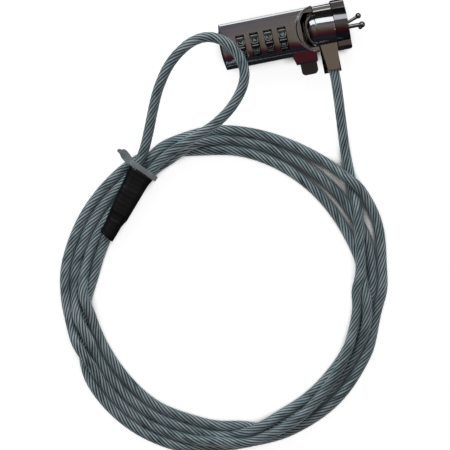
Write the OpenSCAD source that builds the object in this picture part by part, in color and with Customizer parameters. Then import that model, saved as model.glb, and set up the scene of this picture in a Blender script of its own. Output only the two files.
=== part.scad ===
// Laptop cable lock: a four-dial combination head on a coiled steel cable.
// Millimetres. The lock lies on its back with its claw towards +X. The origin is on the
// surface under the lock, midway along and across the lock without its cable.

/* [Body] */
// Length of the lock from its left end to the face that seats on the laptop
body_len = 58.2; // [56:0.1:64]
// Half of the body's width
half_w = 10.1; // [10.1:0.1:11]
// Height of the lock's axis above its back
axis_h = 9; // [9:0.1:10]
// Height of the front face above the axis
front_h = 8; // [7.9:0.1:8.1]

/* [Dials] */
// Radius of a number ring
dial_r = 7.25; // [7:0.05:7.3]
// Width of a ring's rim, which shows in the window
rim_w = 3.7; // [3:0.1:3.8]
// Distance between two dials
dial_pitch = 6.3; // [6.3:0.1:6.6]

/* [Swivel] */
// Radius of the round nose, the collar and the end section
barrel_r = 8.4; // [8.2:0.1:8.5]
// Radius of the neck that the collar turns on
neck_r = 5.6; // [5.4:0.1:5.8]
// Reach of the lug from the lock's axis
lug_reach = 20.3; // [19:0.1:22]

/* [Trigger and claw] */
// How far the trigger travels
trigger_travel = 3; // [2:0.1:3]
// Reach of the claw past the laptop face
claw_reach = 7.8; // [7:0.1:9]

/* [Cable] */
// Diameter of the sheathed cable
cable_d = 4.5; // [4:0.1:4.5]
// Radius of the coil's inner edge
coil_inner_r = 57; // [55:0.5:58]
// Radius of the coil's outer edge
coil_outer_r = 76.5; // [75:0.5:78]
// Height of the coil
coil_h = 9; // [8:0.5:10]

/* [Hidden] */
$fn = 96;

// the lock's own axes have their origin on its axis at the laptop face
plate_half = 11.1;
face_x = (body_len - claw_reach) / 2;
axis_y = (lug_reach - plate_half) / 2;

// stations along the lock's axis
cap_t = 2;
cap_x = -body_len + cap_t;
housing_end = -14.7;
neck_start = -14.6;
plate_x = -5.9;
chamber_end = -25.4;
first_dial = -48.8;
dials = [for (i = [0:3]) first_dial + i * dial_pitch];

// the body's section
back_round = 6;
side_round = 7;
crown_r = 45;
edge_cut = 1;
side_y = side_round - half_w;
side_z = sqrt(pow(crown_r - side_round, 2) - pow(side_y, 2)) - crown_r + front_h;
chamber_r = 7.5;
scoop_r = 10.5;
scoop_x = -13.7;
scoop_floor = 3;

// spindle, clutches and their keys
spindle_r = 2.4;
spindle_end = -26.5;
spindle_start = -53.4;
clutch_r = 4.4;
clutch_w = 3.4;
key_r = 3.3;
key_w = 1.3;
key_t = 0.8;

// trigger
trigger_left = -24.2;
trigger_right = -16.9;
trigger_half_z = 2.1;
trigger_top = -0.35;
trigger_bottom = -19.4;
boss_y = -14.1;
spring_x = -22.3;
stop_x = -23;
stop_y = -8;
pin_r = 0.7;

// claw
pivot = [-1.6, 0.6];
lever_r = 0.6;
lever_end = -18.2;
prong_y = -1.75;
prong_r = 0.9;
ball_r = 1.25;

// lug and cable
lug_left = -14.3;
lug_right = -6.1;
cable_x = -10;
ferrule_r = 2.6;
fit = 0.08;

// routes of the cable's uncoiled stretches, in the part's own frame
TAIL = [
    [15.2, -14.3, 9], [15.1, -21, 8.8], [14.7, -28.5, 7.7], [14.2, -36.5, 5.9],
    [13.7, -44.5, 4.1], [13.2, -52.5, 2.8], [12.9, -58.5, 2.3], [12.7, -64.5, 2.25]
];
LOOP = [
    [-99.3, -68, 6], [-93.4, -59, 6.7], [-87.4, -50.1, 7.4], [-81, -41.4, 8.2],
    [-75.7, -34.1, 10], [-71.5, -25.4, 12.6], [-67.8, -16.8, 15.3], [-63.3, -7.7, 18.2],
    [-56.4, 1.5, 20.8], [-47.7, 7.8, 22.5], [-40.1, 9.9, 23], [-33.8, 8.4, 23], [-28.5, 3.9, 23],
    [-25.2, -2.6, 23], [-24.7, -9.6, 22.8], [-27.6, -16.3, 21.7], [-33.6, -23, 19.7],
    [-42, -28.6, 17], [-52, -32.6, 14], [-62, -36.2, 11.2], [-70, -40.2, 9.2],
    [-75.8, -44.8, 8.3], [-81.9, -51, 7.5], [-86.9, -56.6, 7.2]
];
COIL_CENTRE = [-52.5, -101];

// sleeve, ferrule and tie
sleeve_low = [-99.3, -68, 6];
sleeve_turn = 54.1;
sleeve_rise = 3.6;
sleeve_len = 32.3;
sleeve_r = 3.5;
strand_gap = 5.4;
wide_from = 10;
tie_centre = [-77.6, -42.3];
tie_turn = -46;
tie_t = 1.1;
tie_w = 2.6;

// ---------- helpers ----------

// places a shape drawn in the lock's own axes
module in_lock() {
    translate([face_x, axis_y, axis_h]) children();
}

// extrudes an outline of the Y-Z plane from x0 to x1
module along_x(x0, x1) {
    translate([x0, 0, 0]) rotate([90, 0, 90]) linear_extrude(x1 - x0) children();
}

// a round bar along X from x0 to x1
module bar_x(x0, x1, r) {
    translate([x0, 0, 0]) rotate([0, 90, 0]) cylinder(h = x1 - x0, r = r);
}

// a round bar along Y from y0 to y1
module bar_y(y0, y1, r) {
    translate([0, y0, 0]) rotate([-90, 0, 0]) cylinder(h = y1 - y0, r = r);
}

// a box between two corners
module box(low, high) {
    translate(low) cube(high - low);
}

// a rectangle between two corners with round corners
module round_rect(low, high, r) {
    for (x = [low[0] + r, high[0] - r]) for (y = [low[1] + r, high[1] - r])
        translate([x, y]) circle(r);
    translate([low[0] + r, low[1]]) square([high[0] - low[0] - 2 * r, high[1] - low[1]]);
    translate([low[0], low[1] + r]) square([high[0] - low[0], high[1] - low[1] - 2 * r]);
}

// a flat bar with round ends from a to b in the X-Y plane
module capsule(a, b, r, thick) {
    d = b - a;
    turn = atan2(d[1], d[0]);
    linear_extrude(height = thick, center = true) polygon([
        for (i = [0 : 12]) b + r * [cos(turn - 90 + 15 * i), sin(turn - 90 + 15 * i)],
        for (i = [0 : 12]) a + r * [cos(turn + 90 + 15 * i), sin(turn + 90 + 15 * i)]
    ]);
}

function unit(v) = v / norm(v);

// a tube of radius r through the points, with n sides
module tube(points, r, n) {
    last = len(points) - 1;
    function ahead(i) = unit(points[min(i + 1, last)] - points[max(i - 1, 0)]);
    function across(i) = unit(cross(ahead(i), [0, 0, 1]));
    function ring(i) = let (s = across(i), u = cross(s, ahead(i)))
        [for (k = [0:n - 1]) points[i] + r * (s * cos(360 * k / n) + u * sin(360 * k / n))];
    sides = [for (i = [0:last - 1]) for (k = [0:n - 1])
        let (a = i * n + k, b = i * n + (k + 1) % n) [a, b, b + n, a + n]];
    start = [for (k = [n - 1:-1:0]) k];
    stop = [for (k = [0:n - 1]) last * n + k];
    polyhedron(
        points = [for (i = [0:last]) each ring(i)],
        faces = concat([start], sides, [stop]),
        convexity = 6
    );
}

// a smooth route through the points, with the given number of steps between two of them
function smooth(points, steps) = let (last = len(points) - 1) concat(
    [for (i = [0:last - 1]) for (k = [0:steps - 1])
        let (
            a = points[max(i - 1, 0)], b = points[i], c = points[i + 1],
            d = points[min(i + 2, last)], t = k / steps
        )
        (2 * b + (c - a) * t + (2 * a - 5 * b + 4 * c - d) * t * t
            + (3 * b - a - 3 * c + d) * t * t * t) / 2],
    [points[last]]
);

// a coil spring along Z
module spring(r, wire_r, turns, length) {
    steps = 12;
    helix = [for (i = [0:turns * steps])
        [r * cos(360 * i / steps), r * sin(360 * i / steps), length * i / (turns * steps)]];
    last = len(helix) - 1;
    n = 6;
    function ring(i) = let (
        a = 360 * i / steps, s = [cos(a), sin(a), 0], u = unit([-sin(a) * 0.12, cos(a) * 0.12, 1])
    ) [for (k = [0:n - 1]) helix[i] + wire_r * (s * cos(360 * k / n) + u * sin(360 * k / n))];
    sides = [for (i = [0:last - 1]) for (k = [0:n - 1])
        let (a = i * n + k, b = i * n + (k + 1) % n) [a, a + n, b + n, b]];
    polyhedron(
        points = [for (i = [0:last]) each ring(i)],
        faces = concat([[for (k = [0:n - 1]) k]], sides, [[for (k = [n - 1:-1:0]) last * n + k]]),
        convexity = 10
    );
}

// ---------- body ----------

// the body's section across its axis: flat back, round corners and a slightly crowned front, which
// runs on into the round side
module body_section() {
    join_y = side_y * crown_r / (crown_r - side_round);
    intersection() {
        union() {
            for (y = [-1, 1])
                translate([y * (half_w - back_round), back_round - axis_h]) circle(back_round);
            translate([back_round - half_w, -axis_h])
                square([2 * (half_w - back_round), axis_h]);
            translate([-half_w, back_round - axis_h])
                square([2 * half_w, side_z + axis_h - back_round]);
            translate([side_y, side_z]) circle(side_round, $fn = 120);
            polygon([
                [join_y, -1], [half_w, -1], [half_w, 4.7], [half_w - 0.3, 6.75],
                [half_w - edge_cut, 7.08], [half_w - edge_cut, front_h + 2], [join_y, front_h + 2]
            ]);
        }
        translate([0, front_h - crown_r]) circle(crown_r, $fn = 480);
    }
}

module housing() {
    window = [3.5, 7.3];
    window_w = 3.9;
    color("dimgray") in_lock() difference() {
        union() {
            along_x(cap_x, housing_end) body_section();
            trigger_boss();
        }
        bar_x(cap_x - 1, chamber_end, chamber_r);
        for (x = dials)
            box([x - window_w / 2, -window[1], 0], [x + window_w / 2, window[0], front_h + 1]);
        bar_x(chamber_end - 1, -20, spindle_r + 0.15);
        bar_x(-20.9, housing_end + 1, barrel_r + 0.1);
        translate([scoop_x, 0, scoop_floor]) cylinder(h = 10, r = scoop_r);
        box([trigger_left - 0.15, boss_y - 1, -trigger_half_z - 0.1],
            [trigger_right + 0.15, trigger_travel + 0.1, trigger_half_z + 0.1]);
        translate([spring_x, 0, 0]) bar_y(0, 8.6, 1.7);
        translate([stop_x, stop_y, -4.5]) cylinder(h = 7, r = pin_r);
        box([-52.5, -1.7, -8.45], [-26.5, 1.7, -7]);
        cap_screw_holes(pin_r);
        barrel_pin_places() cylinder(h = 5.5, r = 0.8);
    }
}

// the boss round the trigger: its sides draw in and its front slopes back
module trigger_boss() {
    intersection() {
        along_x(-28, -15) polygon([
            [-5, -4], [-5, 5], [-7.4, 5.5], [boss_y + 0.5, 3.3], [boss_y, 2.9], [boss_y, -4]
        ]);
        translate([0, 0, -5]) linear_extrude(12) polygon([
            [-26.8, -5], [-26.8, -10.3], [-25.7, boss_y], [-16.3, boss_y], [-16.1, -10.3], [-16.1, -5]
        ]);
    }
}

// the two cap screws' places, with x measured from the cap's edge
module cap_screw_places() {
    for (p = [[7.9, 3.3], [-7.7, -3.7]]) translate([0, p[0], p[1]]) children();
}

module cap_screw_holes(r) {
    cap_screw_places() bar_x(-body_len - 1, cap_x + 4.2, r);
}

module end_cap() {
    crown = 46;
    plug_end = -52.6;
    color("dimgray") in_lock() difference() {
        union() {
            intersection() {
                along_x(-body_len - 1, cap_x) body_section();
                translate([crown - body_len, 0, 0]) sphere(crown, $fn = 240);
            }
            bar_x(cap_x, plug_end, chamber_r - 0.05);
        }
        bar_x(-body_len + 0.9, plug_end + 1, spindle_r + 0.2);
        cap_screw_holes(pin_r);
        cap_screw_places() bar_x(-body_len - 1, -57.3 + 0.7, 1.3);
        reset_place() bar_x(-body_len - 1, -56.7, 1.65);
    }
}

module cap_screws() {
    color("silver") in_lock() cap_screw_places() difference() {
        union() {
            bar_x(-57.3, -56.6, 1.25);
            bar_x(-56.6, cap_x + 4, pin_r);
        }
        box([-57.4, -2, -0.15], [-56.95, 2, 0.15]);
    }
}

module reset_place() {
    translate([0, 5.4, -1]) children();
}

module reset_screw() {
    color("silver") in_lock() reset_place() difference() {
        bar_x(-57.8, -56.75, 1.6);
        box([-58, -2, -0.25], [-57.3, 2, 0.25]);
    }
}

module detent_leaf() {
    color("silver") in_lock() {
        box([-52.2, -1.5, -8.4], [-26.8, 1.5, -8.1]);
        for (x = dials) translate([x, 0, -7.8]) bar_x(-1, 1, 0.45);
    }
}

// ---------- dials ----------

module dial(i) {
    shoulder_r = 6.6;
    shoulder_w = 6;
    color([0.08, 0.08, 0.09]) in_lock() translate([dials[i], 0, 0]) difference() {
        union() {
            bar_x(-rim_w / 2, rim_w / 2, dial_r);
            bar_x(-shoulder_w / 2, shoulder_w / 2, shoulder_r);
        }
        bar_x(-shoulder_w, shoulder_w, clutch_r);
    }
}

module clutch(i) {
    color("goldenrod") in_lock() translate([dials[i], 0, 0]) difference() {
        bar_x(-clutch_w / 2, clutch_w / 2, clutch_r);
        bar_x(-clutch_w, clutch_w, spindle_r + fit);
        box([-clutch_w, -key_w / 2 - 0.15, -key_r - 0.2], [clutch_w, key_w / 2 + 0.15, key_r + 0.2]);
    }
}

module spindle() {
    tip_x = -24.6;
    nose_x = -54.2;
    color("silver") in_lock() {
        bar_x(spindle_start, spindle_end, spindle_r);
        bar_x(nose_x, spindle_start, 1.2);
        rotate([0, 90, 0]) rotate_extrude()
            polygon([[0, spindle_end], [spindle_r, spindle_end], [0.6, tip_x], [0, tip_x]]);
        for (x = dials) translate([x + clutch_w / 2 + 0.15, 0, 0])
            box([0, -key_w / 2, 0], [key_t, key_w / 2, key_r]);
    }
}

module spindle_spring() {
    color("gray") in_lock() translate([-57.1, 0, 0]) rotate([0, 90, 0])
        spring(1.95, 0.3, 3, spindle_start + 57.1 - 0.3);
}

// ---------- barrel, end plate and fasteners ----------

module barrel() {
    nose_r = 2.9;
    nose_x = neck_start - 0.3 - (barrel_r - nose_r);
    color("gray") in_lock() difference() {
        union() {
            rotate([0, 90, 0]) rotate_extrude() intersection() {
                union() {
                    translate([0, nose_x]) square([nose_r, neck_start - nose_x]);
                    translate([nose_r, neck_start - 0.3]) circle(barrel_r - nose_r);
                    translate([0, neck_start - 0.3]) square([barrel_r, 0.3]);
                }
                translate([0, nose_x]) square([barrel_r, neck_start - nose_x]);
            }
            bar_x(neck_start, plate_x, neck_r);
        }
        box([-22, -9, -trigger_half_z - 0.1],
            [trigger_right + 0.3, trigger_travel + 0.1, trigger_half_z + 0.1]);
        box([-18.9, -0.3, -1], [plate_x + 1, 4.8, 1]);
        face_screw_places() bar_x(-12.2, 0, pin_r);
        barrel_pin_places() cylinder(h = 5.5, r = 0.8);
    }
}

// two pins through the housing's back into the nose
module barrel_pin_places() {
    for (y = [-1, 1]) translate([-17.5, y * 4.6, -8.6]) children();
}

module barrel_pins() {
    color("silver") in_lock() barrel_pin_places() cylinder(h = 5.4, r = 0.8);
}

module end_plate() {
    flange_front = 3.6;
    slot = [[-2.8, -1.5], [2.3, 1.5]];
    color("gray") in_lock() difference() {
        union() {
            along_x(plate_x, 0) round_rect([-plate_half, -axis_h], [plate_half, flange_front], 1.5);
            bar_x(plate_x, 0, barrel_r);
        }
        along_x(plate_x - 1, 1) translate(slot[0]) square(slot[1] - slot[0]);
        translate([pivot[0], pivot[1], -4]) cylinder(h = 8, r = lever_r);
        face_screw_places() {
            bar_x(plate_x - 1, 1, pin_r);
            bar_x(-1.2, 1, 1.4);
        }
    }
}

module face_screw_places() {
    for (z = [-3.9, 3.9]) translate([0, -1.3, z]) children();
}

module face_screws() {
    color("silver") in_lock() face_screw_places() difference() {
        union() {
            bar_x(-1.2, -0.3, 1.35);
            bar_x(-12, -1.2, pin_r);
        }
        box([-0.7, -2, -0.2], [0, 2, 0.2]);
    }
}

// ---------- trigger and claw ----------

module trigger() {
    chamfer = 3.15;
    tab_round = 1.8;
    color([0.12, 0.11, 0.11]) in_lock() difference() {
        translate([0, 0, -trigger_half_z]) linear_extrude(2 * trigger_half_z) difference() {
            union() {
                round_rect([trigger_left, trigger_bottom], [trigger_right, -10], tab_round);
                translate([trigger_left, -14]) square([trigger_right - trigger_left, trigger_top + 14]);
            }
            polygon([[trigger_left - 1, trigger_top - chamfer - 1], [trigger_left - 1, 1],
                [trigger_left + chamfer + 1, 1]]);
            translate([stop_x - pin_r - 0.1, stop_y - trigger_travel - pin_r - 0.1])
                square([2 * pin_r + 0.2, trigger_travel + 2 * pin_r + 0.2]);
        }
        translate([spring_x, 0, 0]) bar_y(-5.5, 1, 1.6);
    }
}

module trigger_spring() {
    bottom = -5.4;
    color("gray") in_lock() translate([spring_x, bottom, 0]) rotate([-90, 0, 0])
        spring(1.2, 0.25, 8, 13.8);
}

module stop_pin() {
    color("silver") in_lock() translate([stop_x, stop_y, -4.4]) cylinder(h = 6.8, r = pin_r);
}

module claw_fixed() {
    ball_x = claw_reach - ball_r;
    color("silver") in_lock() {
        capsule([plate_x + 1, prong_y], [ball_x, prong_y], prong_r, 1.8);
        capsule([ball_x, prong_y], [ball_x + 0.01, prong_y], ball_r, 2.4);
        capsule([ball_x - 0.2, prong_y - 0.1], [ball_x - 1.05, -3.1], 0.8, 1.5);
        box([plate_x, -2.8, -1.5], [plate_x + 3, -0.8, 1.5]);
    }
}

module claw_moving() {
    bend = [0.6, 0.25];
    ball = [5.5, 2.25];
    ball_2_r = 1.1;
    color("silver") in_lock() difference() {
        union() {
            capsule([lever_end, pivot[1]], pivot, lever_r, 1);
            capsule(pivot, bend, lever_r + 0.05, 1.1);
            capsule(bend, ball, lever_r, 1.2);
            capsule(ball, ball + [0.01, 0], ball_2_r, 2.2);
            translate([pivot[0], pivot[1], -0.8]) cylinder(h = 1.6, r = 1.2);
        }
        translate([pivot[0], pivot[1], -2]) cylinder(h = 4, r = lever_r + 0.05);
    }
}

module claw_pin() {
    color("silver") in_lock() translate([pivot[0], pivot[1], -3.9]) cylinder(h = 7.8, r = lever_r);
}

// ---------- cable side ----------

module swivel_collar() {
    lug_back = -3.4;
    lug_split = 1.2;
    right = lug_right - 0.5;
    shoulder = [[4, -7.5], [half_w, 2.5]];
    color("gray") in_lock() difference() {
        union() {
            bar_x(housing_end + 0.35, plate_x - 0.25, barrel_r);
            along_x(housing_end + 0.35, plate_x - 0.25)
                round_rect(shoulder[0], shoulder[1], 1);
            translate([0, -4, 0]) rotate([90, 0, 0]) linear_extrude(lug_reach - 4) polygon([
                [lug_left, lug_back], [right, lug_back], [right, 0.2], [right - 0.8, lug_split],
                [lug_left + 1.5, lug_split], [lug_left, -0.7]
            ]);
        }
        bar_x(-20, 0, neck_r + fit);
        lug_bores();
    }
}

// the cable's hole through the lug and the room for its ferrule
module lug_bores() {
    translate([cable_x, 0, 0]) {
        bar_y(-19.5, -9.5, ferrule_r + 0.02);
        bar_y(-lug_reach - 1, -19, cable_d / 2 + 0.1);
    }
}

module lug_plate() {
    split = 1.2;
    front = 3.4;
    root_y = -5;
    tip_y = -19.4;
    color("rosybrown") in_lock() difference() {
        translate([0, 0, split]) linear_extrude(front - split) polygon([
            [lug_left, root_y], [lug_right, root_y],
            [lug_right - 1.2, tip_y + 0.4], [lug_right - 1.5, tip_y],
            [lug_left + 2.3, tip_y], [lug_left + 1.5, tip_y + 0.9]
        ]);
        bar_x(-20, 0, barrel_r + 0.02);
        lug_bores();
    }
}

module cable_ferrule() {
    color("silver") in_lock() translate([cable_x, 0, 0]) difference() {
        bar_y(-19.5, -9.5, ferrule_r);
        bar_y(-20, -11, cable_d / 2);
    }
}

module cable_tail() {
    color("slategray") tube(smooth(TAIL, 2), cable_d / 2, 10);
}

module cable_coil() {
    color("slategray") translate([COIL_CENTRE[0], COIL_CENTRE[1], 0]) rotate_extrude()
        round_rect([coil_inner_r, 0], [coil_outer_r, coil_h], 2);
}

module cable_loop() {
    color("slategray") tube(smooth(LOOP, 2), cable_d / 2, 10);
}

// places a shape drawn along the sleeve: +X up the sleeve, -Y towards the inside of the coil
module in_sleeve() {
    translate(sleeve_low) rotate([0, -sleeve_rise, sleeve_turn]) children();
}

module loop_sleeve() {
    color([0.05, 0.05, 0.06]) in_sleeve() difference() {
        union() {
            bar_x(0, sleeve_len, sleeve_r);
            translate([0, -strand_gap, 0]) bar_x(wide_from, sleeve_len, sleeve_r);
            box([wide_from, -strand_gap, -sleeve_r], [sleeve_len, 0, sleeve_r]);
        }
        translate([-1, 0, 0]) bar_x(0, 40, cable_d / 2 + 0.2);
        translate([0, -strand_gap, 0]) bar_x(wide_from + 1.5, 40, cable_d / 2 + 0.2);
        box([wide_from + 2.5, -strand_gap, -2.75], [wide_from + 12.6, 0, 2.75]);
    }
}

module loop_ferrule() {
    color("silver") in_sleeve() difference() {
        box([wide_from + 2.6, -4.2, -2.7], [wide_from + 12.5, 0, 2.7]);
        for (y = [0, -strand_gap]) translate([0, y, 0]) bar_x(0, 40, cable_d / 2 + 0.1);
    }
}

module cable_tie() {
    half_l = 8.6;
    top = 11.6;
    paddle_len = 6;
    color([0.5, 0.53, 0.53]) {
        translate([tie_centre[0], tie_centre[1], 0]) rotate([90, 0, tie_turn])
            translate([0, 0, -tie_w / 2]) linear_extrude(tie_w) difference() {
                round_rect([-half_l, 0], [half_l, top], 4);
                round_rect([tie_t - half_l, tie_t], [half_l - tie_t, top - tie_t], 3);
            }
        translate([-82.8, -37, 8.6]) rotate([0, 0, 116]) linear_extrude(1.2) {
            round_rect([-1, -1.95], [paddle_len, 1.95], 1.5);
            round_rect([paddle_len - 1, 0.1], [paddle_len + 1.2, 1.7], 0.7);
        }
    }
}

// ---------- the part ----------

housing();
end_cap();
cap_screws();
reset_screw();
detent_leaf();
dial(0);  // dial_1
dial(1);  // dial_2
dial(2);  // dial_3
dial(3);  // dial_4
clutch(0);  // clutch_1
clutch(1);  // clutch_2
clutch(2);  // clutch_3
clutch(3);  // clutch_4
spindle();
spindle_spring();
barrel();
barrel_pins();
end_plate();
face_screws();
trigger();
trigger_spring();
stop_pin();
claw_fixed();
claw_moving();
claw_pin();
swivel_collar();
lug_plate();
cable_ferrule();
cable_tail();
cable_coil();
cable_loop();
loop_sleeve();
loop_ferrule();
cable_tie();
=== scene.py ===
"""Laptop cable lock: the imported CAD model, with its cable, dials, sleeve and tie in full detail."""

import math

import bpy
import numpy as np
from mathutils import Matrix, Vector, kdtree


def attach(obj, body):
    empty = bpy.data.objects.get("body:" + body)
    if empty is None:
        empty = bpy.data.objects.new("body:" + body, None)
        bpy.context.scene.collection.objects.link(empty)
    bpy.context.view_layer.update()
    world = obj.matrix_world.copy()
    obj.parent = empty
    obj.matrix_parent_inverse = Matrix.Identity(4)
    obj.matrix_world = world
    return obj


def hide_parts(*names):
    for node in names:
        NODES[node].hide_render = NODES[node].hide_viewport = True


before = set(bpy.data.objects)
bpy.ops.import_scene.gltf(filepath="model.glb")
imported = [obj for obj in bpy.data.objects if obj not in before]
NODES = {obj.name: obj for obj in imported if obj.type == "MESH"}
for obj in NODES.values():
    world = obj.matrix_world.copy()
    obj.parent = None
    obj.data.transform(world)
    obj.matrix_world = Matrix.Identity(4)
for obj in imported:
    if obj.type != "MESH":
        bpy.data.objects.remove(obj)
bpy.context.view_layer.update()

MM = 0.001
SCENE = bpy.context.scene

# ---------- the cable's route, in mm ----------

TAIL = [
    (15.2, -14.3, 9), (15.1, -21, 8.8), (14.7, -28.5, 7.7), (14.2, -36.5, 5.9),
    (13.7, -44.5, 4.1), (13.2, -52.5, 2.8), (12.9, -58.5, 2.3), (12.7, -64.5, 2.25),
]
LOOP = [
    (-99.3, -68, 6), (-93.4, -59, 6.7), (-87.4, -50.1, 7.4), (-81, -41.4, 8.2),
    (-75.7, -34.1, 10), (-71.5, -25.4, 12.6), (-67.8, -16.8, 15.3), (-63.3, -7.7, 18.2),
    (-56.4, 1.5, 20.8), (-47.7, 7.8, 22.5), (-40.1, 9.9, 23), (-33.8, 8.4, 23), (-28.5, 3.9, 23),
    (-25.2, -2.6, 23), (-24.7, -9.6, 22.8), (-27.6, -16.3, 21.7), (-33.6, -23, 19.7),
    (-42, -28.6, 17), (-52, -32.6, 14), (-62, -36.2, 11.2), (-70, -40.2, 9.2),
    (-75.8, -44.8, 8.3), (-81.9, -51, 7.5), (-86.9, -56.6, 7.2),
]
COIL_CENTRE = np.array([-52.5, -101.0])
CABLE_D = 4.5
STEP = 1.2

# The coil runs clockwise from the tail to the loop. Its keys are (angle, radius, layer), where layer 0
# lies on the floor and layer 1 on another turn.
TURN_1 = [
    (28.9, 74.7, 0), (20, 69.2, 1), (11, 65.2, 1), (1, 62.4, 1), (-8, 61.3, 1), (-25, 61.5, 1),
    (-44, 62.4, 1), (-64, 66.4, 1), (-80, 69.6, 1), (-93, 70.8, 1), (-110, 70.2, 0.8),
    (-130, 69, 0.2), (-150, 69, 0.4), (-165, 70, 1), (-180, 70.6, 0.9), (-195, 70.9, 0),
    (-225, 70.4, 0), (-243, 69.0, 0), (-252, 66.5, 0), (-265, 63.2, 0), (-280, 61.6, 0),
    (-298, 61.2, 0), (-318, 61, 0),
]
TURN_2 = [
    (-337, 60.9, 0), (-349, 62, 0), (-364, 65.1, 0.2), (-380, 65.6, 1), (-400, 66, 1),
    (-424, 66.6, 0), (-448.6, 65.4, 0), (-467, 64.6, 0), (-488, 61.7, 0), (-505, 60.5, 0),
    (-520, 60.2, 0), (-536, 61, 0.6), (-548, 61.6, 0.6), (-566, 61.9, 0.3), (-585, 61.6, 0.3),
    (-611, 61.2, 1), (-625, 64.0, 1), (-640, 66.2, 0.3), (-660, 66.2, 0),
]
TURN_3 = [
    (-680, 66.7, 0), (-697, 67.3, 0), (-711, 69.2, 0), (-724, 69.4, 0), (-740, 66.5, 0),
    (-764, 62.3, 0), (-784, 62.3, 0), (-799, 64.2, 0.5), (-808.6, 65.2, 1), (-827, 66.6, 0.9),
    (-848, 65.7, 0.2), (-865, 64.8, 0.4), (-885, 65.6, 0.9), (-904, 66.8, 1), (-920, 67.6, 1),
    (-935, 67.4, 1), (-950, 66.2, 0.6), (-971, 66.2, 1), (-985, 69.6, 0.6), (-1000, 70.6, 0),
    (-1022, 71, 0),
]
TURN_4 = [
    (-1041, 73, 0.6), (-1051.3, 74.9, 1), (-1060, 75.7, 0.6), (-1071, 74.9, 0), (-1081, 73, 0),
    (-1091, 70.8, 0), (-1110, 71, 0), (-1128, 71.7, 0), (-1149, 71.7, 0), (-1162, 71.3, 0),
    (-1173, 70.8, 0), (-1185, 71, 0), (-1200, 73.4, 0), (-1210, 73, 0), (-1233, 72.7, 0),
    (-1241, 71.4, 0), (-1247, 69.3, 0), (-1258, 64.5, 0), (-1268, 60.2, 0.1), (-1280, 57.6, 0.4),
    (-1295.2, 57.3, 0.85),
]

# Corrections that bring the coil's outline to the picture's. They are what the keys' radii gain at each
# angle: (angle, gain at COIL_INSIDE, gain COIL_THICK further out).
COIL_INSIDE = 61
COIL_THICK = 11
COMES_IN, GOES_OUT = 15, 25  # degrees over which the corrections start and end
KEY_BLUR = 5
LAYER_H = 4.45
SPREAD = np.array([
    (-24, 2.4, -1.6), (-13, 4.4, -4.6), (-2, 2.2, -0.8), (8, -1.2, 2.4), (19, 0.4, 2.2),
    (34, 0.5, 0.8), (49, 0.4, 0.5), (79, 2.6, 1.2), (94, 2.9, 1.2), (109, 0.9, 2.7),
    (124, 0.3, 1.0), (139, 0.3, 1.2), (154, 2.2, 0.5), (169, 5.0, -0.1), (184, 1.0, 1.2),
    (199, 0.9, 1.2), (214, 1.2, 3.2), (229, 1.8, 3.7), (244, 2.4, 0.1), (259, 6.0, -1.3),
    (274, 5.6, -0.7), (289, 2.2, 0.9), (304, 1.0, 2.2), (319, 2.0, 0.6), (334, 1.2, 0.0),
])


def between(a, b, c, d, t):
    """The point at share t of the way from b to c, on a Catmull-Rom curve through all four."""
    bend = 2 * a - 5 * b + 4 * c - d
    return 0.5 * (2 * b + (c - a) * t + bend * t**2 + (3 * (b - c) + d - a) * t**3)


def run_along(line):
    """How far along the line each of its points is."""
    return np.concatenate([[0], np.cumsum(np.linalg.norm(np.diff(line, axis=0), axis=1))])


def even(line, step):
    """The same line with its points a step apart."""
    s = run_along(line)
    at = np.linspace(0, s[-1], max(2, int(round(s[-1] / step)) + 1))
    return np.stack([np.interp(at, s, line[:, k]) for k in range(3)], 1)


def smooth_line(points, step):
    """Evenly spaced points on a smooth curve through the points."""
    p = np.array(points, float)
    p = np.vstack([2 * p[0] - p[1], p, 2 * p[-1] - p[-2]])
    shares = np.linspace(0, 1, 24, endpoint=False)
    line = [between(*four, t) for four in zip(p, p[1:], p[2:], p[3:]) for t in shares]
    line.append(p[-2])
    return even(np.array(line), step)


def blur(values, width):
    """A running mean that leaves the ends in place."""
    before = 2 * values[:1] - values[width:0:-1]
    after = 2 * values[-1:] - values[-2:-width - 2:-1]
    pad = np.concatenate([before, values, after])
    kernel = np.hanning(2 * width + 3)[1:-1]
    kernel /= kernel.sum()
    return np.stack([np.convolve(pad[:, k], kernel, "valid") for k in range(values.shape[1])], 1)


def coil_line():
    """The coil before its turns settle, with a point at each degree."""
    keys = np.array(TURN_1 + TURN_2 + TURN_3 + TURN_4, float)
    angle = np.arange(keys[0, 0], keys[-1, 0], -1.0)
    radius, layer = (np.interp(-angle, -keys[:, 0], keys[:, k]) for k in (1, 2))
    inside, outside = (np.interp(angle, SPREAD[:, 0], SPREAD[:, k], period=360) for k in (1, 2))
    from_ends = np.clip(np.minimum((angle[0] - angle) / COMES_IN, (angle - angle[-1]) / GOES_OUT), 0, 1)
    outwards = np.clip((radius - COIL_INSIDE) / COIL_THICK, 0, 1)
    radius = radius + from_ends * (inside + (outside - inside) * outwards)
    shape = blur(np.stack([radius, layer], 1), KEY_BLUR)
    a = np.radians(angle)
    xy = COIL_CENTRE + shape[:, :1] * np.stack([np.cos(a), np.sin(a)], 1)
    z = CABLE_D / 2 + LAYER_H * shape[:, 1:]
    return np.hstack([xy, z])


# How the turns settle
ROUNDS = 260
LAST_ROUNDS = 40  # these only part and smooth the turns
NEIGHBOURS = 20  # points this close along the cable aren't another turn
CLIMB = 1.5  # how much more a turn is pushed up or down than aside
SINK = 0.10  # in each round
HOMING = 0.04  # the share of the way back to its place in each round


def touching(line):
    """Pairs of points, well apart along the cable, that are nearer than the cable is thick."""
    tree = kdtree.KDTree(len(line))
    for k, p in enumerate(line):
        tree.insert(p, k)
    tree.balance()
    pairs = []
    for k, p in enumerate(line):
        pairs += [(k, j) for _, j, _ in tree.find_range(p, CABLE_D) if abs(k - j) > NEIGHBOURS]
    return np.array(pairs, int).reshape(-1, 2).T


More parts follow.
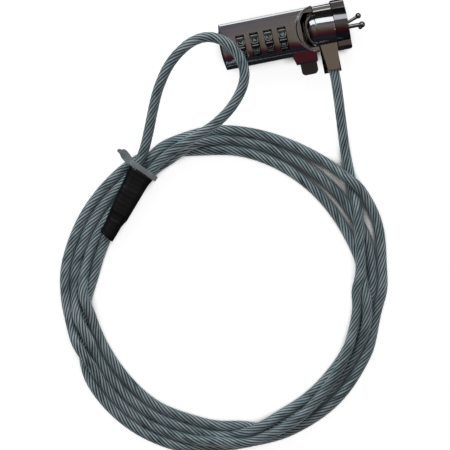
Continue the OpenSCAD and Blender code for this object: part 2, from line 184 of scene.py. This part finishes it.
def settle(line, free):
    """Lets the turns push each other apart and sink onto the floor, as stiff cable does. Free is 0 where
    the cable is held."""
    home = line.copy()
    free = free[:, None]
    for r in range(ROUNDS):
        i, j = touching(line)
        gap = line[i] - line[j]
        dist = np.linalg.norm(gap, axis=1)[:, None]
        way = gap / np.maximum(dist, 1e-6) * (1, 1, CLIMB)
        push = np.zeros_like(line)
        count = np.zeros(len(line))
        np.add.at(push, i, (CABLE_D - dist) * way * 0.5)
        np.add.at(count, i, 1)
        push /= np.maximum(count, 1)[:, None]
        late = r > ROUNDS - LAST_ROUNDS
        if not late:
            push[:, 2] -= SINK
            push[:, :2] += HOMING * (home[:, :2] - line[:, :2])
        line = line + free * push
        if not late or r % 4 == 0:
            width, share = (4, 0.25) if late else (7, 0.6)
            line = line + free * (blur(line, width) - line) * share
        line[:, 2] = np.maximum(line[:, 2], CABLE_D / 2)
    return line


tail = smooth_line(TAIL, STEP)
loop = smooth_line(LOOP, STEP)
coil = coil_line()
route = even(np.vstack([tail, coil[2:-1], loop]), STEP)
# Most of the tail and nearly all of the loop are held. The cable comes free over some points between them.
HELD_TAIL = 0.72
LOOSE_LOOP = 3  # points
AFTER_TAIL, BEFORE_LOOP = 18, 12
start = int(round(len(tail) * HELD_TAIL))
last = len(route) - len(loop) + LOOSE_LOOP
place = np.arange(len(route))
free = np.clip(np.minimum((place - start) / AFTER_TAIL, (last - place) / BEFORE_LOOP), 0, 1)
route = settle(route, free)
route = blur(even(route, STEP), 2)

# ---------- camera ----------

camera = bpy.data.objects.new("camera", bpy.data.cameras.new("camera"))
SCENE.collection.objects.link(camera)
SCENE.camera = camera
CAMERA_H = 1.2
SENSOR = 36
VIEW_W = 0.2025  # what the picture's width takes in at VIEW_H
VIEW_H = 0.006
VIEW_CENTRE = (-0.0464, -0.0736)
VIEW_TURN = -11.3
camera.location = (*VIEW_CENTRE, CAMERA_H)
camera.rotation_euler = (0, 0, math.radians(VIEW_TURN))
camera.data.sensor_width = SENSOR
camera.data.lens = SENSOR * (CAMERA_H - VIEW_H) / VIEW_W
camera.data.clip_start = 0.01

# ---------- materials ----------


def fill(tree, n, inputs):
    """Sets a node's inputs. Those given as sockets are linked."""
    for k, v in inputs.items():
        if isinstance(v, bpy.types.NodeSocket):
            tree.links.new(v, n.inputs[k])
        else:
            n.inputs[k].default_value = v


def add_node(tree, kind, inputs=(), **settings):
    n = tree.nodes.new("ShaderNode" + kind)
    for k, v in settings.items():
        setattr(n, k, v)
    fill(tree, n, dict(inputs))
    return n


def fill_ramp(n, stops):
    """Sets a colour ramp's stops, given as (place, colour)."""
    while len(n.color_ramp.elements) < len(stops):
        n.color_ramp.elements.new(0.5)
    for e, (at, colour) in zip(n.color_ramp.elements, stops):
        e.position = at
        e.color = (*colour, 1)


class Paint:
    """A procedural material, built up from nodes."""

    def __init__(self, name):
        self.material = bpy.data.materials.new(name)
        self.material.use_nodes = True
        self.tree = self.material.node_tree
        self.shader = self.tree.nodes["Principled BSDF"]

    def node(self, kind, inputs=(), **settings):
        return add_node(self.tree, kind, inputs, **settings)

    def finish(self, **inputs):
        fill(self.tree, self.shader, {k.replace("_", " "): v for k, v in inputs.items()})
        return self.material

    def maths(self, operation, *values):
        return self.node("Math", enumerate(values), operation=operation).outputs[0]

    def noise(self, scale, detail, vector=None):
        if vector is None:
            vector = self.node("TexCoord").outputs["Object"]
        n = self.node("TexNoise", {"Vector": vector, "Scale": scale, "Detail": detail, "Roughness": 0.5})
        return n.outputs["Fac"]

    def ramp(self, factor, *stops):
        n = self.node("ValToRGB", {"Fac": factor})
        fill_ramp(n, stops)
        return n.outputs["Color"]

    def span(self, value, low, high, to_low, to_high):
        return self.node("MapRange", {0: value, 1: low, 2: high, 3: to_low, 4: to_high}).outputs["Result"]

    def mix(self, factor, a, b):
        return self.node("Mix", {0: factor, 6: a, 7: b}, data_type="RGBA").outputs[2]

    def bump(self, height, strength, distance):
        n = self.node("Bump", {"Height": height, "Strength": strength, "Distance": distance})
        return n.outputs["Normal"]


WIRES = 10
PER_WIRE = 5  # mesh strips in each wire
LAY = 30.0  # the length in which a wire goes once round
WIRE_DEPTH = 0.12
CABLE_OVER = 0.03  # how far the wires stand out from the nominal radius


def cable_material():
    """Steel wires under clear vinyl: each wire's crest is painted light, as a highlight, and the grooves
    between the wires are painted dark, as shade.
    """
    p = Paint("cable_wire")
    uv = p.node("UVMap", uv_map="cable").outputs["UV"]
    parts = p.node("SeparateXYZ", {0: uv}).outputs
    wire = p.maths("MULTIPLY", parts[0], float(WIRES))
    across = p.maths("SUBTRACT", p.maths("MULTIPLY", p.maths("FRACT", wire), 2.0), 1.0)
    crown = p.maths("POWER", p.maths("SUBTRACT", 1.0, p.maths("ABSOLUTE", across)), 0.7)
    along = p.maths("MULTIPLY", parts[1], 60.0)
    streak = p.noise(1.7, 3.0, p.node("CombineXYZ", {0: p.maths("FLOOR", wire), 1: along}).outputs[0])
    # Painted light: the crest profile, varied along each wire by the streak noise, becomes a painted
    # highlight on the crest and painted shade in the grooves.
    painted_light = p.maths("MULTIPLY", crown, p.span(streak, 0.3, 0.7, 0.5, 1.15))
    colour = p.ramp(
        painted_light, (0.14, (0.016, 0.024, 0.027)), (0.4, (0.16, 0.225, 0.245)), (0.66, (0.62, 0.80, 0.85)),
        (1.0, (0.90, 0.97, 1.0)),
    )
    tint = p.noise(28.0, 2.0)
    colour = p.mix(p.span(tint, 0.35, 0.65, 0.0, 0.28), colour, (0.10, 0.165, 0.17, 1))
    rough = p.span(streak, 0.3, 0.7, 0.30, 0.44)
    normal = p.bump(crown, 0.9, 0.00022)
    return p.finish(Base_Color=colour, Roughness=rough, Normal=normal, Coat_Weight=0.35, Coat_Roughness=0.12)


def shade_of(colour, share):
    """The colour, lightened or darkened, with its alpha."""
    return (*[share * v for v in colour], 1)


def metal(name, colour, rough, smudge=0.05, grain=0.0):
    """Polished metal with faint smudges, and grain for a cast or rolled face."""
    p = Paint(name)
    cloud = p.noise(160.0, 5.0)
    fine = p.noise(2600.0, 2.0)
    tone = p.mix(p.span(cloud, 0.3, 0.7, 0.0, 1.0), shade_of(colour, 0.93), shade_of(colour, 1))
    rough = p.span(cloud, 0.3, 0.7, rough, rough + smudge)
    normal = p.bump(fine, 0.15 + grain, 0.00002)
    return p.finish(Base_Color=tone, Metallic=1.0, Roughness=rough, Normal=normal)


def moulded(name, colour, rough, grain=900.0, **more):
    """Moulded plastic or rubber, with a fine grain and a slight unevenness of colour."""
    p = Paint(name)
    cloud = p.noise(220.0, 4.0)
    fine = p.noise(grain, 3.0)
    tone = p.mix(p.span(cloud, 0.3, 0.7, 0.0, 1.0), shade_of(colour, 0.8), shade_of(colour, 1.2))
    rough = p.span(fine, 0.3, 0.7, rough - 0.05, rough + 0.08)
    return p.finish(Base_Color=tone, Normal=p.bump(fine, 0.5, 0.00003), Roughness=rough, **more)


FINISH = {
    "chrome_body": metal("chrome_body", (0.60, 0.585, 0.58), 0.07),
    "chrome_satin": metal("chrome_satin", (0.56, 0.545, 0.54), 0.09),
    # Painted shade: a darker copy of the housing's chrome for the end plate, standing in for the darker
    # reflections on it.
    "chrome_painted_shade": metal("chrome_painted_shade", (0.30, 0.285, 0.29), 0.12),
    "chrome_lug": metal("chrome_lug", (0.60, 0.54, 0.48), 0.16, 0.06, 0.2),
    "steel": metal("steel_bright", (0.42, 0.41, 0.40), 0.16),
    "brass": metal("brass_ring", (0.72, 0.52, 0.24), 0.25),
    "dial": moulded("dial_black", (0.010, 0.010, 0.011), 0.36),
    "trigger": metal("trigger_dark", (0.10, 0.092, 0.09), 0.22, 0.1, 0.3),
    "cable": cable_material(),
    "sleeve": moulded("sleeve_black", (0.006, 0.006, 0.008), 0.5, 1400.0),
    "tie": moulded(
        "tie_grey", (0.38, 0.42, 0.43), 0.38, 500.0, Subsurface_Weight=0.2, Subsurface_Radius=(0.002,) * 3,
    ),
    "digits": moulded("digit_white", (0.72, 0.78, 0.76), 0.5),
}
# The CAD nodes of each finish. The rest are steel.
SLOT_NODES = {
    "chrome_body": ["barrel", "swivel_collar"],
    "chrome_satin": ["housing", "end_cap"],
    "chrome_painted_shade": ["end_plate"],
    "chrome_lug": ["lug_plate"],
    "dial": ["dial_1", "dial_2", "dial_3", "dial_4"],
    "brass": ["clutch_1", "clutch_2", "clutch_3", "clutch_4"],
    "trigger": ["trigger"],
    "cable": ["cable_tail", "cable_coil", "cable_loop"],
    "sleeve": ["loop_sleeve"],
    "tie": ["cable_tie"],
}
for name, o in NODES.items():
    o.data.materials.clear()
    finish = next((slot for slot, names in SLOT_NODES.items() if name in names), "steel")
    o.data.materials.append(FINISH[finish])

# ---------- mesh helpers ----------


def frames_along(line):
    """A side and an up vector at each point, turning as little as they can."""
    ahead = np.gradient(line, axis=0)
    ahead /= np.linalg.norm(ahead, axis=1)[:, None]
    side = np.cross(ahead[0], [0, 0, 1.0])
    sides = []
    for t in ahead:
        side = side - t * np.dot(side, t)
        side /= np.linalg.norm(side)
        sides.append(side)
    sides = np.array(sides)
    return sides, np.cross(sides, ahead)


def add_object(name, vertices, faces, slot, body, smooth=True):
    """A piece from points in mm in the part's frame, riding on a body."""
    mesh = bpy.data.meshes.new(name)
    mesh.from_pydata((np.array(vertices, float) * MM).tolist(), [], faces)
    o = bpy.data.objects.new(name, mesh)
    SCENE.collection.objects.link(o)
    mesh.materials.append(FINISH[slot])
    mesh.polygons.foreach_set("use_smooth", [smooth] * len(mesh.polygons))
    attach(o, body)
    return o


def skin(rings, closed=False):
    """Faces of a closed surface through rings of equally many points."""
    n = len(rings[0])
    count = len(rings)
    faces = []
    for k in range(count if closed else count - 1):
        a, b = k * n, (k + 1) % count * n
        faces += [(a + j, a + (j + 1) % n, b + (j + 1) % n, b + j) for j in range(n)]
    if not closed:
        faces += [tuple(range(n - 1, -1, -1)), tuple((count - 1) * n + j for j in range(n))]
    return [p for ring in rings for p in ring], faces


def modify(o, kind, **settings):
    """Adds a modifier."""
    m = o.modifiers.new(kind.lower(), kind)
    for k, v in settings.items():
        setattr(m, k, v)


def bake_modifiers(o):
    """Puts the modifiers' result into the mesh."""
    made = bpy.data.meshes.new_from_object(o.evaluated_get(bpy.context.evaluated_depsgraph_get()))
    o.modifiers.clear()
    old, o.data = o.data, made
    bpy.data.meshes.remove(old)


# ---------- the cable ----------

def cable_mesh(line):
    """A tube of twisted wires round the line. Its vertices follow the lay, so each wire is its own strips."""
    sides = WIRES * PER_WIRE
    side, up = frames_along(line)
    s = run_along(line)
    share = np.arange(sides) / sides
    r = CABLE_D / 2 + CABLE_OVER - WIRE_DEPTH * np.abs((share * WIRES) % 1 * 2 - 1) ** 2
    turn = 2 * math.pi * (share[None, :] - s[:, None] / LAY)
    ring = side[:, None, :] * np.cos(turn)[..., None] + up[:, None, :] * np.sin(turn)[..., None]
    rings = line[:, None, :] + ring * r[None, :, None]
    vertices, faces = skin(rings)
    uvs = []
    for k in range(len(line) - 1):
        v0, v1 = s[k] * MM, s[k + 1] * MM
        for j in range(sides):
            uvs += [(j / sides, v0), ((j + 1) / sides, v0), ((j + 1) / sides, v1), (j / sides, v1)]
    uvs += [(0.5 / WIRES, 0.0)] * (2 * sides)
    return vertices, faces, uvs


vertices, faces, uvs = cable_mesh(route)
cable = add_object("cable_wire_rope", vertices, faces, "cable", "cable")
cable.data.uv_layers.new(name="cable").data.foreach_set("uv", np.array(uvs, np.float32).ravel())
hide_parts("cable_tail", "cable_coil", "cable_loop")

# ---------- the sleeve over the loop's crimp ----------

SLEEVE_LOW = np.array([-99.3, -68, 6.0])
SLEEVE_TURN = math.radians(54.1)
SLEEVE_RISE = math.radians(3.6)
SLEEVE_LEN = 32.3
SLEEVE_INNER = [(0, 3.2), (6, 4.1), (7.2, 4.5), (9.2, 5.3), (15, 5.9), (26, 7.1), (29, 7.5), (32.3, 8.3)]


def along_sleeve(s, v, w):
    """The point s mm up the sleeve, v mm towards the coil's outside and w mm up."""
    level = math.cos(SLEEVE_RISE)
    ahead = np.array([math.cos(SLEEVE_TURN) * level, math.sin(SLEEVE_TURN) * level, math.sin(SLEEVE_RISE)])
    out = np.array([-math.sin(SLEEVE_TURN), math.cos(SLEEVE_TURN), 0])
    return SLEEVE_LOW + s * ahead + v * out + w * np.cross(ahead, out)


def ease(value, low, high):
    """From 0 at low to 1 at high, smoothly."""
    t = min(1.0, max(0.0, (value - low) / (high - low)))
    return t * t * (3 - 2 * t)


def sleeve_ring(s, shrink=0.0, points=64):
    """The shrunk tube's outline. Its outer edge is straight, and its inner edge comes in towards the low
    end with a step where the ferrule ends. Both ends are cut a little askew."""
    ferrule = ease(s, 9, 12) * (1 - ease(s, 22, 25))
    inner = float(np.interp(s, *zip(*SLEEVE_INNER))) - shrink
    outer = 3.75 - 0.25 * math.exp(-((s - 5) / 3) ** 2) - shrink
    flat = 2.95 + 0.25 * ferrule + 0.2 * ease(s, 29.5, 32.3) - shrink
    round_r = min(3.4, (outer + inner) / 2)
    slant = 0.3 * (1 - ease(s, 0, 8)) + 0.1 * ease(s, 24, 32)
    ring = []
    for k in range(points):
        a = 2 * math.pi * k / points
        c, h = math.cos(a), math.sin(a)
        power = 1 - 0.25 * ferrule
        side = math.copysign(abs(c) ** power, c) * round_r
        v = side + (outer - round_r if c > 0 else round_r - inner)
        w = math.copysign(abs(h) ** power, h) * flat
        if outer + inner > 8.2:
            w *= 1 - 0.07 * math.exp(-((v + (inner - outer) / 2) / 1.6) ** 2) * (1 - ferrule)
        w += 0.06 * math.sin(2.1 * s + 2 * a) * math.sin(0.7 * s) * (1 - shrink)
        ring.append(along_sleeve(s + slant * (v - outer) + 0.5, v, w))
    return ring


# The rounded rims at the sleeve's ends: (how far in from the end, how much smaller)
SLEEVE_RIM = [(1.6, 0.9), (0.35, 0.85), (0.0, 0.5), (0.0, 0.2)]
rings = [sleeve_ring(inset, shrink) for inset, shrink in SLEEVE_RIM]
rings += [sleeve_ring(s) for s in np.linspace(0.25, SLEEVE_LEN - 0.25, 96)]
rings += [sleeve_ring(SLEEVE_LEN - inset, shrink) for inset, shrink in reversed(SLEEVE_RIM)]
vertices, faces = skin(rings)
sleeve = add_object("loop_sleeve_shrunk", vertices, faces, "sleeve", "cable")
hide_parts("loop_sleeve")

# ---------- the tie round the coil ----------

TIE_CENTRE = np.array([-78.1, -41.8, 0])
TIE_TURN = math.radians(-46)


def tie_strap():
    """A flat strap in a closed loop round the bundle: its half length, top, corner radius, half thickness
    and half width."""
    half_l, top, r, t, w = 7.5, 11.0, 4.0, 0.45, 1.25
    high, low = top - r, r + 0.5
    centres = [(half_l - r, high, 0), (r - half_l, high, 90), (r - half_l, low, 180), (half_l - r, low, 270)]
    loop_points = []
    for n, (l, z, start_angle) in enumerate(centres):
        for k in range(9):
            a = math.radians(start_angle + k * 90 / 8)
            loop_points.append((l + r * math.cos(a), z + r * math.sin(a), a))
        nl, nz, _ = centres[(n + 1) % 4]
        a = math.radians(start_angle + 90)
        for k in range(1, 6):
            f = k / 6
            bow = 0.35 * math.sin(math.pi * f) * (1 if n == 0 else 0)
            x = l + (nl - l) * f + r * math.cos(a)
            loop_points.append((x, z + (nz - z) * f + r * math.sin(a) + bow, a))
    along = np.array([math.cos(TIE_TURN), math.sin(TIE_TURN), 0])
    across = np.array([-math.sin(TIE_TURN), math.cos(TIE_TURN), 0])
    up = np.array([0, 0, 1.0])
    rings = []
    for l, z, a in loop_points:
        out = along * math.cos(a) + up * math.sin(a)
        ring = []
        for k in range(16):
            b = 2 * math.pi * k / 16
            c, h = math.cos(b), math.sin(b)
            ring.append(TIE_CENTRE + along * l + up * z + across * w * math.copysign(abs(c) ** 0.45, c)
                        + out * (t * math.copysign(abs(h) ** 0.6, h) - 0.05))
        rings.append(ring)
    return skin(rings, closed=True)


vertices, faces = tie_strap()
tie = add_object("tie_strap", vertices, faces, "tie", "cable")
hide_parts("cable_tie")


def rounded_slab(outline, height, lift, rim=0.25):
    """A closed slab on a smooth outline in the X-Y plane, with rounded rims. Lift gives its underside's z
    at a point."""
    outline = np.array(outline, float)
    ahead = np.roll(outline, -1, 0) - np.roll(outline, 1, 0)
    inward = np.stack([-ahead[:, 1], ahead[:, 0]], 1) / np.linalg.norm(ahead, axis=1)[:, None]
    under = [(rim, 0), (0.3 * rim, 0.25 * rim), (0, rim)]
    over = [(0, height - rim), (0.3 * rim, height - 0.25 * rim), (rim, height), (2.5 * rim, height)]
    rings = []
    for inset, z in under + over:
        xy = outline + inward * inset
        rings.append([(x, y, lift(x, y) + z) for x, y in xy])
    return skin(rings)


PADDLE_ROOT = (-82.8, -37)
PADDLE_TURN = math.radians(116)
PADDLE_THICK = 1.2
PADDLE_Z = 8.4
PADDLE_SLOPE = 0.06
PADDLE = [
    (-1.2, -1.5), (1.5, -1.9), (4.2, -1.9), (5.7, -1.3), (6.2, -0.3), (6.9, 0.1), (7.3, 0.9),
    (6.9, 1.7), (6.0, 1.7), (5.2, 1.6), (3.4, 2.0), (1.2, 1.9), (-1.2, 1.4),
]


def paddle_outline():
    """The tie's free end: a tongue with a small nub, from above."""
    p = np.array(PADDLE)
    points = []
    for k in range(len(p)):
        four = [p[(k + j) % len(p)] for j in (-1, 0, 1, 2)]
        points += [between(*four, t) for t in np.linspace(0, 1, 5, endpoint=False)]
    c, h = math.cos(PADDLE_TURN), math.sin(PADDLE_TURN)
    return [(PADDLE_ROOT[0] + x * c - y * h, PADDLE_ROOT[1] + x * h + y * c) for x, y in points]


def paddle_underside(x, y):
    return PADDLE_Z + PADDLE_SLOPE * math.hypot(x - PADDLE_ROOT[0], y - PADDLE_ROOT[1])


vertices, faces = rounded_slab(paddle_outline(), PADDLE_THICK, paddle_underside)
paddle = add_object("tie_paddle", vertices, faces, "tie", "cable")

# ---------- the dials' marks ----------

LOCK = np.array([25.2, 4.6, 9.0])
DIAL_R = 7.25
DIAL_X = (-48.8, -42.5, -36.2, -29.9)
SHOWN = (7, 4, 2, 9)
# The strokes of each digit, on a cell 2 wide and 4 high
DIGITS = {
    0: [[(0, 1), (0, 3), (1, 4), (2, 3), (2, 1), (1, 0), (0, 1)]],
    1: [[(0.3, 3.2), (1.1, 4), (1.1, 0)]],
    2: [[(0, 3.2), (0.6, 4), (1.5, 4), (2, 3.1), (1.6, 2), (0, 0), (2, 0)]],
    3: [[(0.1, 3.6), (0.8, 4), (1.6, 3.8), (1.9, 3), (1.5, 2.2), (0.9, 2.1), (1.6, 1.9), (2, 1),
         (1.5, 0.1), (0.7, 0), (0, 0.5)]],
    4: [[(1.5, 0), (1.5, 4), (0, 1.2), (2, 1.2)]],
    5: [[(1.9, 4), (0.3, 4), (0.1, 2.3), (1.1, 2.5), (1.9, 2), (2, 1), (1.4, 0.1), (0.6, 0), (0, 0.4)]],
    6: [[(1.7, 4), (0.6, 3), (0, 1.3), (0.5, 0.1), (1.4, 0), (2, 0.9), (1.7, 2), (0.9, 2.2), (0.1, 1.6)]],
    7: [[(0, 4), (2, 4), (0.8, 0)]],
    8: [[(1, 2.1), (0.2, 2.9), (0.5, 3.8), (1, 4), (1.6, 3.8), (1.8, 2.9), (1, 2.1), (0, 1.2),
         (0.4, 0.1), (1, 0), (1.6, 0.1), (2, 1.2), (1, 2.1)]],
    9: [[(0.3, 0), (1.4, 1), (2, 2.7), (1.5, 3.9), (0.6, 4), (0, 3.1), (0.3, 2), (1.1, 1.8), (1.9, 2.4)]],
}
BRACKET = [(-1.55, 0.95), (-1.5, -0.3), (-1.05, -1.0), (0, -1.2), (1.05, -1.0), (1.5, -0.3), (1.55, 0.95)]


def fine_line(points, step=0.18):
    """The same corners joined by short steps, so that a stroke follows the ring."""
    p = np.array([(x, y, 0) for x, y in points], float)
    return even(p, step)[:, :2]


def ribbon(points, width):
    """A flat ribbon along a line: its two edges."""
    p = np.array(points)
    ahead = np.gradient(p, axis=0)
    side = np.stack([-ahead[:, 1], ahead[:, 0]], 1) / np.linalg.norm(ahead, axis=1)[:, None] * width / 2
    return p + side, p - side


def dial_marks(n):
    """White numerals, brackets and bars, as raised print on one number ring."""
    vertices, faces = [], []
    low, high = DIAL_R - 0.02, DIAL_R + 0.035

    def press(points, width):
        """Prints a line whose points are (x, arc), along the axis and round the ring."""
        left, right = ribbon(points, width)
        base = len(vertices)
        for (lx, la), (rx, ra) in zip(left, right):
            for x, arc, r in ((lx, la, high), (rx, ra, high), (rx, ra, low), (lx, la, low)):
                a = arc / DIAL_R
                vertices.append(LOCK + (DIAL_X[n] + x, r * math.sin(a), r * math.cos(a)))
        count = len(left)
        for k in range(count - 1):
            a, b = base + 4 * k, base + 4 * k + 4
            faces.extend((a + j, a + (j + 1) % 4, b + (j + 1) % 4, b + j) for j in range(4))
        faces.append((base + 3, base + 2, base + 1, base))
        faces.append(tuple(base + 4 * (count - 1) + j for j in range(4)))

    for cell in range(10):
        centre = DIAL_R * math.radians(0.5 + 36 * cell)
        bar = centre + DIAL_R * math.radians(18)
        press(fine_line([(-1.5, bar), (1.5, bar)]), 0.36)
        curve = smooth_line([(x, y, 0) for x, y in BRACKET], 0.2)[:, :2]
        press(curve + (0, centre - 0.05), 0.26)
        for line in DIGITS[(SHOWN[n] + cell) % 10]:
            turned = [((y - 2) * 0.4, centre + 0.12 - (x - 1) * 0.62) for x, y in line]
            press(fine_line(turned, 0.12), 0.25)
    return vertices, faces


for n in range(4):
    vertices, faces = dial_marks(n)
    add_object(f"dial_{n + 1}_marks", vertices, faces, "digits", f"number_ring_{n + 1}", smooth=False)

# ---------- the rim of the housing's scoop ----------

# The housing's front is crowned, with a tighter curve on one side. Both are as in the CAD source.
CROWN_R = 45.0
FRONT_Z = 8.0
SIDE_R = 7.0
SIDE_Y = -3.1
SIDE_Z = (CROWN_R - SIDE_R) * math.cos(math.asin(-SIDE_Y / (CROWN_R - SIDE_R))) - CROWN_R + FRONT_Z
SCOOP_X = -13.7
SCOOP_R = 10.47
SCOOP_FLOOR = 3.02
LIP = (8.7, 10.15)
BEAD_R = 0.26


def body_front(y):
    """The height of the housing's front above the lock's axis."""
    if y < SIDE_Y * CROWN_R / (CROWN_R - SIDE_R):
        return SIDE_Z + math.sqrt(max(0, SIDE_R**2 - (y - SIDE_Y) ** 2))
    return FRONT_Z - CROWN_R + math.sqrt(CROWN_R**2 - y * y)


def scoop_rim():
    """A fillet that falls from the housing's front to a raised bead, with the scoop's wall below it."""
    rings = []
    for a in np.radians(np.linspace(97, 250, 90)):
        c, h = math.cos(a), math.sin(a)
        top = np.array([SCOOP_X + SCOOP_R * c, SCOOP_R * h])
        lip = np.array([SCOOP_X + LIP[0] * c, LIP[1] * h])
        drop = body_front(lip[1]) - 0.5 - 0.95 * np.linalg.norm(top - lip)
        inward = (lip - top) / np.linalg.norm(lip - top)
        high = body_front(top[1])
        profile = [(top, SCOOP_FLOOR), (top, high - 0.03), (top + 0.3 * inward, high - 0.12)]
        for t in (0.45, 0.75, 0.92):
            profile.append((top + (lip - top) * t, high - 0.12 + (drop - high + 0.12) * t**0.8))
        for b in np.radians(np.linspace(150, -20, 9)):
            bead = lip + inward * (0.22 + BEAD_R * math.cos(b))
            profile.append((bead, drop + 0.02 + BEAD_R * math.sin(b)))
        profile.append((lip + inward * 0.46, SCOOP_FLOOR))
        rings.append([LOCK + (xy[0], xy[1], z) for xy, z in profile])
    return skin(rings)


vertices, faces = scoop_rim()
add_object("scoop_rim", vertices, faces, "chrome_body", "head")

# ---------- the claw's prongs ----------


def fused(name, slot, body, bars, balls, voxel=0.13):
    """Round bars and balls in the lock's own plane, fused into one smooth piece. Bars are (from, to, radius
    at each end) and balls (x, y, radius)."""
    vertices, faces = [], []

    def add(rings):
        base = len(vertices)
        v, f = skin(rings)
        vertices.extend(v)
        faces.extend(tuple(base + k for k in face) for face in f)

    def circle(centre, a, b, r, n=24):
        turns = [2 * math.pi * k / n for k in range(n)]
        return [centre + r * (a * math.cos(t) + b * math.sin(t)) for t in turns]

    for (ax, ay), (bx, by), r0, r1 in bars:
        a, b = LOCK + (ax, ay, 0), LOCK + (bx, by, 0)
        ahead = (b - a) / np.linalg.norm(b - a)
        side = np.cross(ahead, [0, 0, 1.0])
        up = np.cross(side, ahead)
        add([circle(a + (b - a) * t, side, up, r0 + (r1 - r0) * t) for t in np.linspace(0, 1, 6)])
    for x, y, r in balls:
        c = LOCK + (x, y, 0)
        x_way, y_way = np.eye(3)[:2]
        add([circle(c + (0, 0, -r * math.cos(t)), x_way, y_way, r * math.sin(t))
             for t in np.linspace(0.08, math.pi - 0.08, 14)])
    o = add_object(name, vertices, faces, slot, body)
    modify(o, "REMESH", mode="VOXEL", voxel_size=voxel * MM, use_smooth_shade=True)
    modify(o, "SMOOTH", factor=0.5, iterations=6)
    bake_modifiers(o)
    return o


fixed_claw = fused(
    "claw_prong_fixed", "steel", "head",
    [((-5.6, -1.75), (6.2, -1.9), 0.95, 0.92), ((6.2, -1.95), (5.4, -3.1), 1.0, 0.85)],
    [(6.28, -2.0, 1.45), (5.35, -3.1, 0.9)],
)
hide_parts("claw_fixed")
moving_claw = fused(
    "claw_prong_moving", "steel", "moving_claw",
    [((-18.2, 0.6), (-1.6, 0.6), 0.55, 0.55), ((-1.6, 0.6), (0.6, 0.3), 0.62, 0.62),
     ((0.6, 0.3), (5.3, 2.0), 0.68, 0.8)],
    [(-1.6, 0.6, 0.95), (0.6, 0.3, 0.62), (5.42, 2.2, 1.3)],
)
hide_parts("claw_moving")

# ---------- rounded edges on the metal ----------

# The width of each bevel, in mm
ROUNDED = {
    "housing": 0.16, "end_cap": 0.2, "end_plate": 0.25, "swivel_collar": 0.25, "lug_plate": 0.42,
    "trigger": 0.35, "barrel": 0.12,
}
for name, width in ROUNDED.items():
    modify(NODES[name], "WELD", merge_threshold=0.000002)
    modify(NODES[name], "BEVEL", width=width * MM, segments=3, limit_method="ANGLE",
           angle_limit=math.radians(34), harden_normals=True)

# ---------- floor, lights and world ----------

floor_mesh = bpy.data.meshes.new("floor")
floor_mesh.from_pydata([(-1.5, -1.5, 0), (1.5, -1.5, 0), (1.5, 1.5, 0), (-1.5, 1.5, 0)], [], [(0, 1, 2, 3)])
floor = bpy.data.objects.new("floor", floor_mesh)
SCENE.collection.objects.link(floor)
# The floor gives its own light. Where the cable shuts it in, ambient occlusion dims that glow, as painted
# shade in the gaps and along the cable's edges.
SHUT_IN, OPEN = 0.38, 0.55
paper = Paint("lit_floor")
open_sky = paper.node("AmbientOcclusion", {"Distance": 0.008}, samples=8).outputs["AO"]
floor_mesh.materials.append(paper.finish(
    Base_Color=(0.35, 0.35, 0.35, 1), Roughness=0.9, Specular_IOR_Level=0.1, Emission_Color=(1, 1, 1, 1),
    Emission_Strength=paper.span(open_sky, SHUT_IN, OPEN, 0.02, 0.92),
))
floor.visible_glossy = False


def area_light(name, position, target, size, radiance, colour=(1, 1, 1)):
    """A rectangular lamp that faces the target."""
    lamp = bpy.data.lights.new(name, "AREA")
    lamp.shape = "RECTANGLE"
    lamp.size, lamp.size_y = size
    lamp.energy = radiance * math.pi * size[0] * size[1]
    lamp.color = colour
    o = bpy.data.objects.new(name, lamp)
    o.location = position
    o.rotation_euler = (Vector(target) - Vector(position)).to_track_quat("-Z", "Y").to_euler()
    SCENE.collection.objects.link(o)
    return o


area_light("key", (-0.03, 0.65, 0.69), (-0.03, 0.0, 0.01), (1.3, 0.5), 1.6, (0.93, 1, 1.03))
soft_left = area_light("left", (-0.85, -0.1, 0.55), (-0.03, -0.1, 0.01), (0.9, 1.3), 0.32)
soft_left.visible_glossy = False
area_light("right", (0.80, -0.1, 0.55), (-0.03, -0.1, 0.01), (0.9, 1.3), 0.26)

# What the metal mirrors is a dark studio: each stop is (degrees from overhead towards +Y, colour).
SKY = [
    (-90, (0.015, 0.015, 0.018)), (-66, (0.02, 0.022, 0.035)), (-50, (0.035, 0.012, 0.02)),
    (-36, (0.085, 0.016, 0.024)), (-24, (0.075, 0.04, 0.038)), (-12, (0.13, 0.097, 0.086)),
    (-2, (0.19, 0.158, 0.137)), (10, (0.225, 0.2, 0.175)), (18, (0.18, 0.17, 0.19)),
    (24, (0.10, 0.095, 0.15)), (30, (0.03, 0.028, 0.035)), (90, (0.015, 0.015, 0.015)),
]
world = bpy.data.worlds.new("studio")
SCENE.world = world
world.use_nodes = True
tree = world.node_tree


def sky_node(kind, inputs=(), **settings):
    """A node in the world's tree."""
    return add_node(tree, kind, inputs, **settings)


way = sky_node("SeparateXYZ", {0: sky_node("TexCoord").outputs["Generated"]}).outputs
lean = sky_node("Math", {0: way["Y"], 1: way["Z"]}, operation="ARCTAN2").outputs[0]
ramp = sky_node("ValToRGB", {0: sky_node("MapRange", {0: lean, 1: -math.pi / 2, 2: math.pi / 2}).outputs[0]})
fill_ramp(ramp, [((degrees + 90) / 180, colour) for degrees, colour in SKY])
aside = sky_node("Math", {0: way["X"]}, operation="ABSOLUTE").outputs[0]
above = sky_node("MapRange", {0: aside, 1: 0.35, 2: 0.8, 3: 1.0, 4: 0.1}).outputs[0]
mirrored = tree.nodes["Background"]
tree.links.new(ramp.outputs["Color"], mirrored.inputs["Color"])
tree.links.new(above, mirrored.inputs["Strength"])
paper_white = sky_node("Background", {"Color": (0.92, 0.92, 0.92, 1)})
seen = sky_node("MixShader", {
    0: sky_node("LightPath").outputs["Is Camera Ray"], 1: mirrored.outputs[0], 2: paper_white.outputs[0],
})
tree.links.new(seen.outputs[0], tree.nodes["World Output"].inputs["Surface"])
SCENE.view_settings.view_transform = "Standard"
